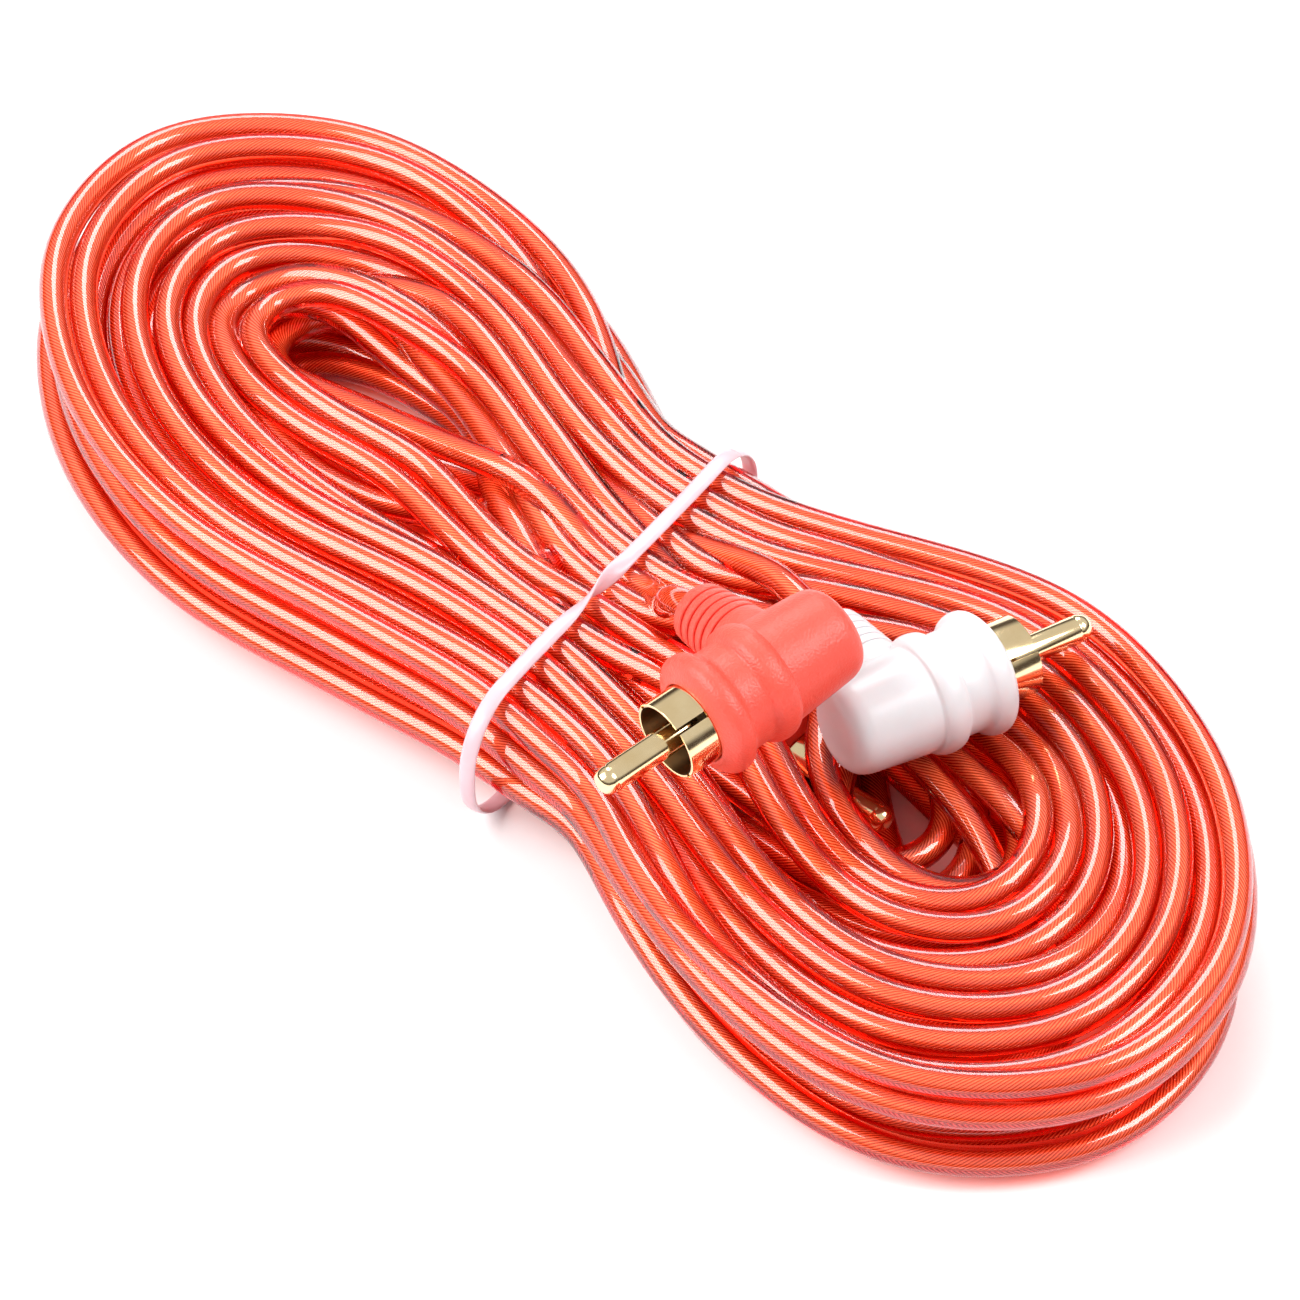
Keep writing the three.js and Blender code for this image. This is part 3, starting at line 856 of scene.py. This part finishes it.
def plug_body(name):
    """The outer moulding: a ringed barrel with its strain relief, hollow for the inner pieces."""
    body = lathed(name, rounded_profile(BARREL_PROFILE) + SEAT_PROFILE, BARREL_SIDES)
    body = merged(body, lathed("leg", leg_profile(), LEG_SIDES, across_y(LEG_AT)), "UNION")
    body = merged(body, lathed("cavity", CAVITY_PROFILE, CAVITY_SIDES), "DIFFERENCE")
    leg_cavity = lathed("leg_cavity", LEG_CAVITY_PROFILE, LEG_CAVITY_SIDES, across_y(LEG_CAVITY_AT))
    return merged(body, leg_cavity, "DIFFERENCE")


def slot_cutter(angle):
    """A flat box that cuts two opposite slots in a shell."""
    half = SLOT_WIDTH / 2
    corners = []
    for x in (-SLOT_REACH, SLOT_REACH):
        for y in (SLOT_FROM, SLOT_TO):
            corners += [(x, y, -half), (x, y, half)]
    faces = [(0, 1, 3, 2), (4, 6, 7, 5), (0, 4, 5, 1), (2, 3, 7, 6), (0, 2, 6, 4), (1, 5, 7, 3)]
    mesh = bpy.data.meshes.new("slot")
    mesh.from_pydata(corners, [], faces)
    mesh.transform(Matrix.Rotation(angle, 4, "Y"))
    return linked(bpy.data.objects.new("slot", mesh))


def ground_shell(name):
    """The slit sleeve round the plug's pin, with a softened rim. Its bore takes the second material, a
    darkened gold that paints the shade inside the sleeve.
    """
    slight = RIM_SOFT * 0.3
    profile = [
        (SHELL_BORE_R, SHELL_FOOT), (SHELL_R, SHELL_FOOT), (SHELL_R, SHELL_RIM - RIM_SOFT),
        (SHELL_R - slight, SHELL_RIM - RIM_DROP), (SHELL_R - RIM_SOFT, SHELL_RIM),
        (SHELL_BORE_R + RIM_SOFT, SHELL_RIM), (SHELL_BORE_R + slight, SHELL_RIM - RIM_DROP),
        (SHELL_BORE_R, SHELL_RIM - RIM_SOFT), (SHELL_BORE_R, SHELL_FOOT),
    ]
    shell = lathed(name, profile, SHELL_SIDES)
    for quarter in range(2):
        shell = merged(shell, slot_cutter(math.pi / 4 + quarter * math.pi / 2), "DIFFERENCE")
    # faces that look into the bore get the darkened gold, painted shade inside the shell
    for face in shell.data.polygons:
        outward = face.center.x * face.normal.x + face.center.z * face.normal.z
        face.material_index = 1 if outward < -0.5 * SHELL_BORE_R else 0
    return shell


def place_on_plug(piece, plug):
    """Moves a piece made in the plug's own axes to its place, and gives its edges crisp shading."""
    axes, origin = plug_axes(plug)
    place = Matrix([[*axes[row], origin[row]] for row in range(3)] + [[0, 0, 0, 1]])
    piece.data.transform(Matrix.Scale(MM, 4) @ place)
    shape = bmesh.new()
    shape.from_mesh(piece.data)
    bmesh.ops.remove_doubles(shape, verts=shape.verts, dist=WELD * MM)
    for face in shape.faces:
        face.smooth = True
    for edge in shape.edges:
        edge.smooth = edge.calc_face_angle(0) < CREASE
    shape.to_mesh(piece.data)
    shape.free()


def dress(piece, plug, materials):
    """Places a plug's piece, gives it its materials, and lets it stand for its CAD node."""
    place_on_plug(piece, plug)
    finish = [face.material_index for face in piece.data.polygons]
    piece.data.materials.clear()
    for material in materials:
        piece.data.materials.append(material)
    last = len(materials) - 1
    piece.data.polygons.foreach_set("material_index", [min(number, last) for number in finish])
    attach(piece, BODY)
    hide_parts(piece.name.replace("_look", ""))
    return piece


def make_plug(plug, moulding, gold, painted_shade_bore):
    """A plug's shell, pin and outer moulding, which is returned."""
    dress(ground_shell(f"{plug}_plug_ground_shell_look"), plug, [gold, painted_shade_bore])
    dress(lathed(f"{plug}_plug_centre_pin_look", PIN_PROFILE, PIN_SIDES), plug, [gold])
    return dress(plug_body(f"{plug}_plug_body_look"), plug, [moulding])


def finish_inner_pieces():
    """Gives the pieces kept inside each plug their finishes."""
    copper = fine_material("tinned_copper", (0.62, 0.26, 0.14), (0.88, 0.50, 0.32), 0.3, 1, 0.3)
    milky = fine_material("inner_polythene", (0.70, 0.68, 0.64), (0.85, 0.84, 0.80), 0.5, 0, 1.2)
    clear = fine_material("core_polythene", (0.80, 0.78, 0.74), (0.92, 0.91, 0.88), 0.4, 0, 0.8)
    black = fine_material("plug_insulator", (0.04, 0.035, 0.03), (0.09, 0.08, 0.075), 0.45, 0, 0.5)
    finishes = {
        "inner_mould": milky,
        "insulator": black,
        "core_insulation": clear,
        "conductor": copper,
        "shield_pigtail": copper,
    }
    for plug in PLUGS:
        for piece, material in finishes.items():
            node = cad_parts[f"{plug}_plug_{piece}"]
            for place in node.material_slots:
                place.material = material


# ---- tie band --------------------------------------------------------------------------------------------
BAND_RINGS = 400
BAND_SIDES = 20
STRIP_HALF_THICK = 0.3    # the strip as it looks, thinner than its CAD solid
STRIP_THINNING = 0.25     # how much thinner it gets towards its edges
STRIP_FLATNESS = 0.7      # 1 for an ellipse, less for a flatter section
BAND_BEND_R = 7.5
BAND_BEND_STEPS = 12
BAND_CLEARANCE = 0.05
BAND_TWIST_AT = -2.8      # where along the top the band is twisted, across the hank
BAND_TWIST_LENGTH = 15
BAND_LEAN = 3.0           # how far its near side has slid along the hank


def band_path():
    """The band's centreline in its own upright plane: (across the hank, height)."""
    half = BAND_HALF_SPAN - BAND_THICK / 2
    low = BAND_CLEARANCE + BAND_THICK / 2
    high = HANK_HEIGHT - BAND_CLEARANCE
    corner = BAND_BEND_R
    bends = [
        (half - corner, high - corner, 90),
        (half - corner, low + corner, 0),
        (-half + corner, low + corner, -90),
        (-half + corner, high - corner, -180),
    ]
    points = []
    for centre_x, centre_z, start in bends:
        for step in range(BAND_BEND_STEPS + 1):
            angle = math.radians(start - 90 * step / BAND_BEND_STEPS)
            points.append((centre_x + corner * math.cos(angle), centre_z + corner * math.sin(angle)))
    closed = np.array(points + points[:1])
    along = distances_along(closed)
    at = np.linspace(0, along[-1], BAND_RINGS, endpoint=False)
    return np.column_stack([np.interp(at, along, closed[:, axis]) for axis in range(2)])


def band_vertices():
    """Rings of points round the strip, which makes half a turn where it crosses the top."""
    path = band_path()
    tangent = np.roll(path, -1, axis=0) - np.roll(path, 1, axis=0)
    tangent /= np.linalg.norm(tangent, axis=1)[:, None]
    outward = np.column_stack([-tangent[:, 1], tangent[:, 0]])
    across = np.array([-math.sin(BAND_TURN), math.cos(BAND_TURN), 0])
    through = np.array([math.cos(BAND_TURN), math.sin(BAND_TURN), 0])
    upright = np.array([0, 0, 1.0])
    origin = np.array([*(BAND_CENTRE + CENTRING[:2]), 0])
    on_top = path[:, 1] > HANK_HEIGHT - 1
    progress = np.where(on_top, (path[:, 0] - BAND_TWIST_AT) / BAND_TWIST_LENGTH + 0.5, 0)
    twist = np.where(on_top, math.pi * ease(progress), 0)
    vertices = []
    for at in range(BAND_RINGS):
        slid = BAND_LEAN * ease(0.5 - 0.5 * path[at, 0] / BAND_HALF_SPAN)
        centre = origin + across * path[at, 0] + upright * path[at, 1] - through * slid
        normal = across * outward[at, 0] + upright * outward[at, 1]
        flat = through * math.cos(twist[at]) + normal * math.sin(twist[at])
        proud = normal * math.cos(twist[at]) - through * math.sin(twist[at])
        for side in range(BAND_SIDES):
            angle = 2 * math.pi * side / BAND_SIDES
            reach = abs(math.cos(angle)) ** STRIP_FLATNESS
            wide = math.copysign(reach, math.cos(angle)) * BAND_WIDTH / 2
            thick = math.sin(angle) * STRIP_HALF_THICK * (1 - STRIP_THINNING * math.cos(angle) ** 2)
            vertices.append(tuple((centre + flat * wide + proud * thick) * MM))
    return vertices


def band_piece(material):
    """A soft flat strip round the waist."""
    faces = []
    for ring in range(BAND_RINGS):
        low = ring * BAND_SIDES
        high = ((ring + 1) % BAND_RINGS) * BAND_SIDES
        for side in range(BAND_SIDES):
            beside = (side + 1) % BAND_SIDES
            faces.append((low + side, low + beside, high + beside, high + side))
    mesh = bpy.data.meshes.new("tie_band_look")
    mesh.from_pydata(band_vertices(), [], faces)
    mesh.polygons.foreach_set("use_smooth", [True] * len(faces))
    shape = bmesh.new()
    shape.from_mesh(mesh)
    bmesh.ops.recalc_face_normals(shape, faces=shape.faces)
    shape.to_mesh(mesh)
    shape.free()
    mesh.materials.append(material)
    band = linked(bpy.data.objects.new("tie_band_look", mesh))
    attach(band, BODY)
    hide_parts("tie_band")


# ---- studio ----------------------------------------------------------------------------------------------
FLOOR_REACH = 3.0        # metres
SOFT_BOXES = [           # name, place in metres, width in metres, power in watts
    ("key", (-0.45, -0.85, 0.9), 1.0, 22),
    ("fill", (0.6, 0.5, 0.8), 0.5, 8),
    ("back", (-0.7, 0.62, 0.94), 0.5, 6),
]


def make_floor():
    corners = [(x * FLOOR_REACH, y * FLOOR_REACH, 0) for x, y in ((-1, -1), (1, -1), (1, 1), (-1, 1))]
    mesh = bpy.data.meshes.new("floor")
    mesh.from_pydata(corners, [], [(0, 1, 2, 3)])
    material, _, shader = new_material("pale_floor")
    set_inputs(shader, {"Base Color": (0.9, 0.9, 0.9, 1), "Roughness": 0.9})
    mesh.materials.append(material)
    linked(bpy.data.objects.new("floor", mesh))


def soft_box(name, location, width, power):
    """A square lamp that faces the hank."""
    data = bpy.data.lights.new(name, "AREA")
    data.shape = "RECTANGLE"
    data.size = width
    data.size_y = width
    data.energy = power
    lamp = linked(bpy.data.objects.new(name, data))
    lamp.location = location
    lamp.rotation_euler = Vector(location).to_track_quat("Z", "Y").to_euler()


def make_light():
    """A bright dome that is dark near the horizon, and three soft boxes."""
    world = bpy.data.worlds.new("studio")
    bpy.context.scene.world = world
    world.use_nodes = True
    tree = world.node_tree
    place = tree.nodes.new("ShaderNodeTexCoord")
    parts = tree.nodes.new("ShaderNodeSeparateXYZ")
    tree.links.new(place.outputs["Generated"], parts.inputs[0])
    dome = blend_colours(tree, parts.outputs[2], (0.12, 0.10, 0.10), (1.0, 1.0, 1.0), 0.22, 0.42)
    tree.links.new(dome, tree.nodes["Background"].inputs["Color"])
    set_inputs(tree.nodes["Background"], {"Strength": 0.7})
    for name, location, width, power in SOFT_BOXES:
        soft_box(name, location, width, power)


# ---- building ------------------------------------------------------------------------------------------
def make_lead(colour, path, jacket, shield):
    """One lead's shield and its jacket, which is returned."""
    outer = tube_piece(f"{colour}_lead_jacket", path, LEAD_R, JACKET_SIDES, jacket)
    inner = tube_piece(f"{colour}_lead_shield", path, SHIELD_R, SHIELD_SIDES, shield)
    for piece in (outer, inner):
        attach(piece, BODY)
    return outer


def make_cable():
    """The red lead and then the white one, each with its two plugs."""
    gold = gold_material("gold_plate", (0.86, 0.62, 0.30), (1.0, 0.82, 0.52), 0.07, 0.2)
    # painted shade: the bore's gold is darkened far below any plating to stand for the shade inside the
    # shell
    painted_shade_bore = gold_material("gold_bore_painted_shade", (0.10, 0.05, 0.02), (0.30, 0.17, 0.07), 0.25, 0.45)
    mouldings = {
        "red": moulding_material("red_moulding", (0.82, 0.085, 0.055), 0.40, 0.5, 0.28),
        "white": moulding_material("white_moulding", (0.74, 0.72, 0.735), 0.28, 0.05, 0.9),
    }
    stood_for = {"red": ("cable_hank", "near_red_lead_tail"), "white": ("near_white_lead_tail",)}
    jacket = jacket_material()
    shield = shield_material()
    for (colour, moulding), points in zip(mouldings.items(), settled(designed_leads())):
        path = smooth_path(points)
        lead = make_lead(colour, path, jacket, shield)
        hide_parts(*stood_for[colour])
        near_plug = f"near_{colour}"
        make_plug(near_plug, moulding, gold, painted_shade_bore)
        far_body = make_plug(f"far_{colour}", moulding, gold, painted_shade_bore)


make_camera()
make_cable()
finish_inner_pieces()
band_piece(band_material())
make_floor()
make_light()
bpy.context.scene.view_settings.view_transform = "Standard"
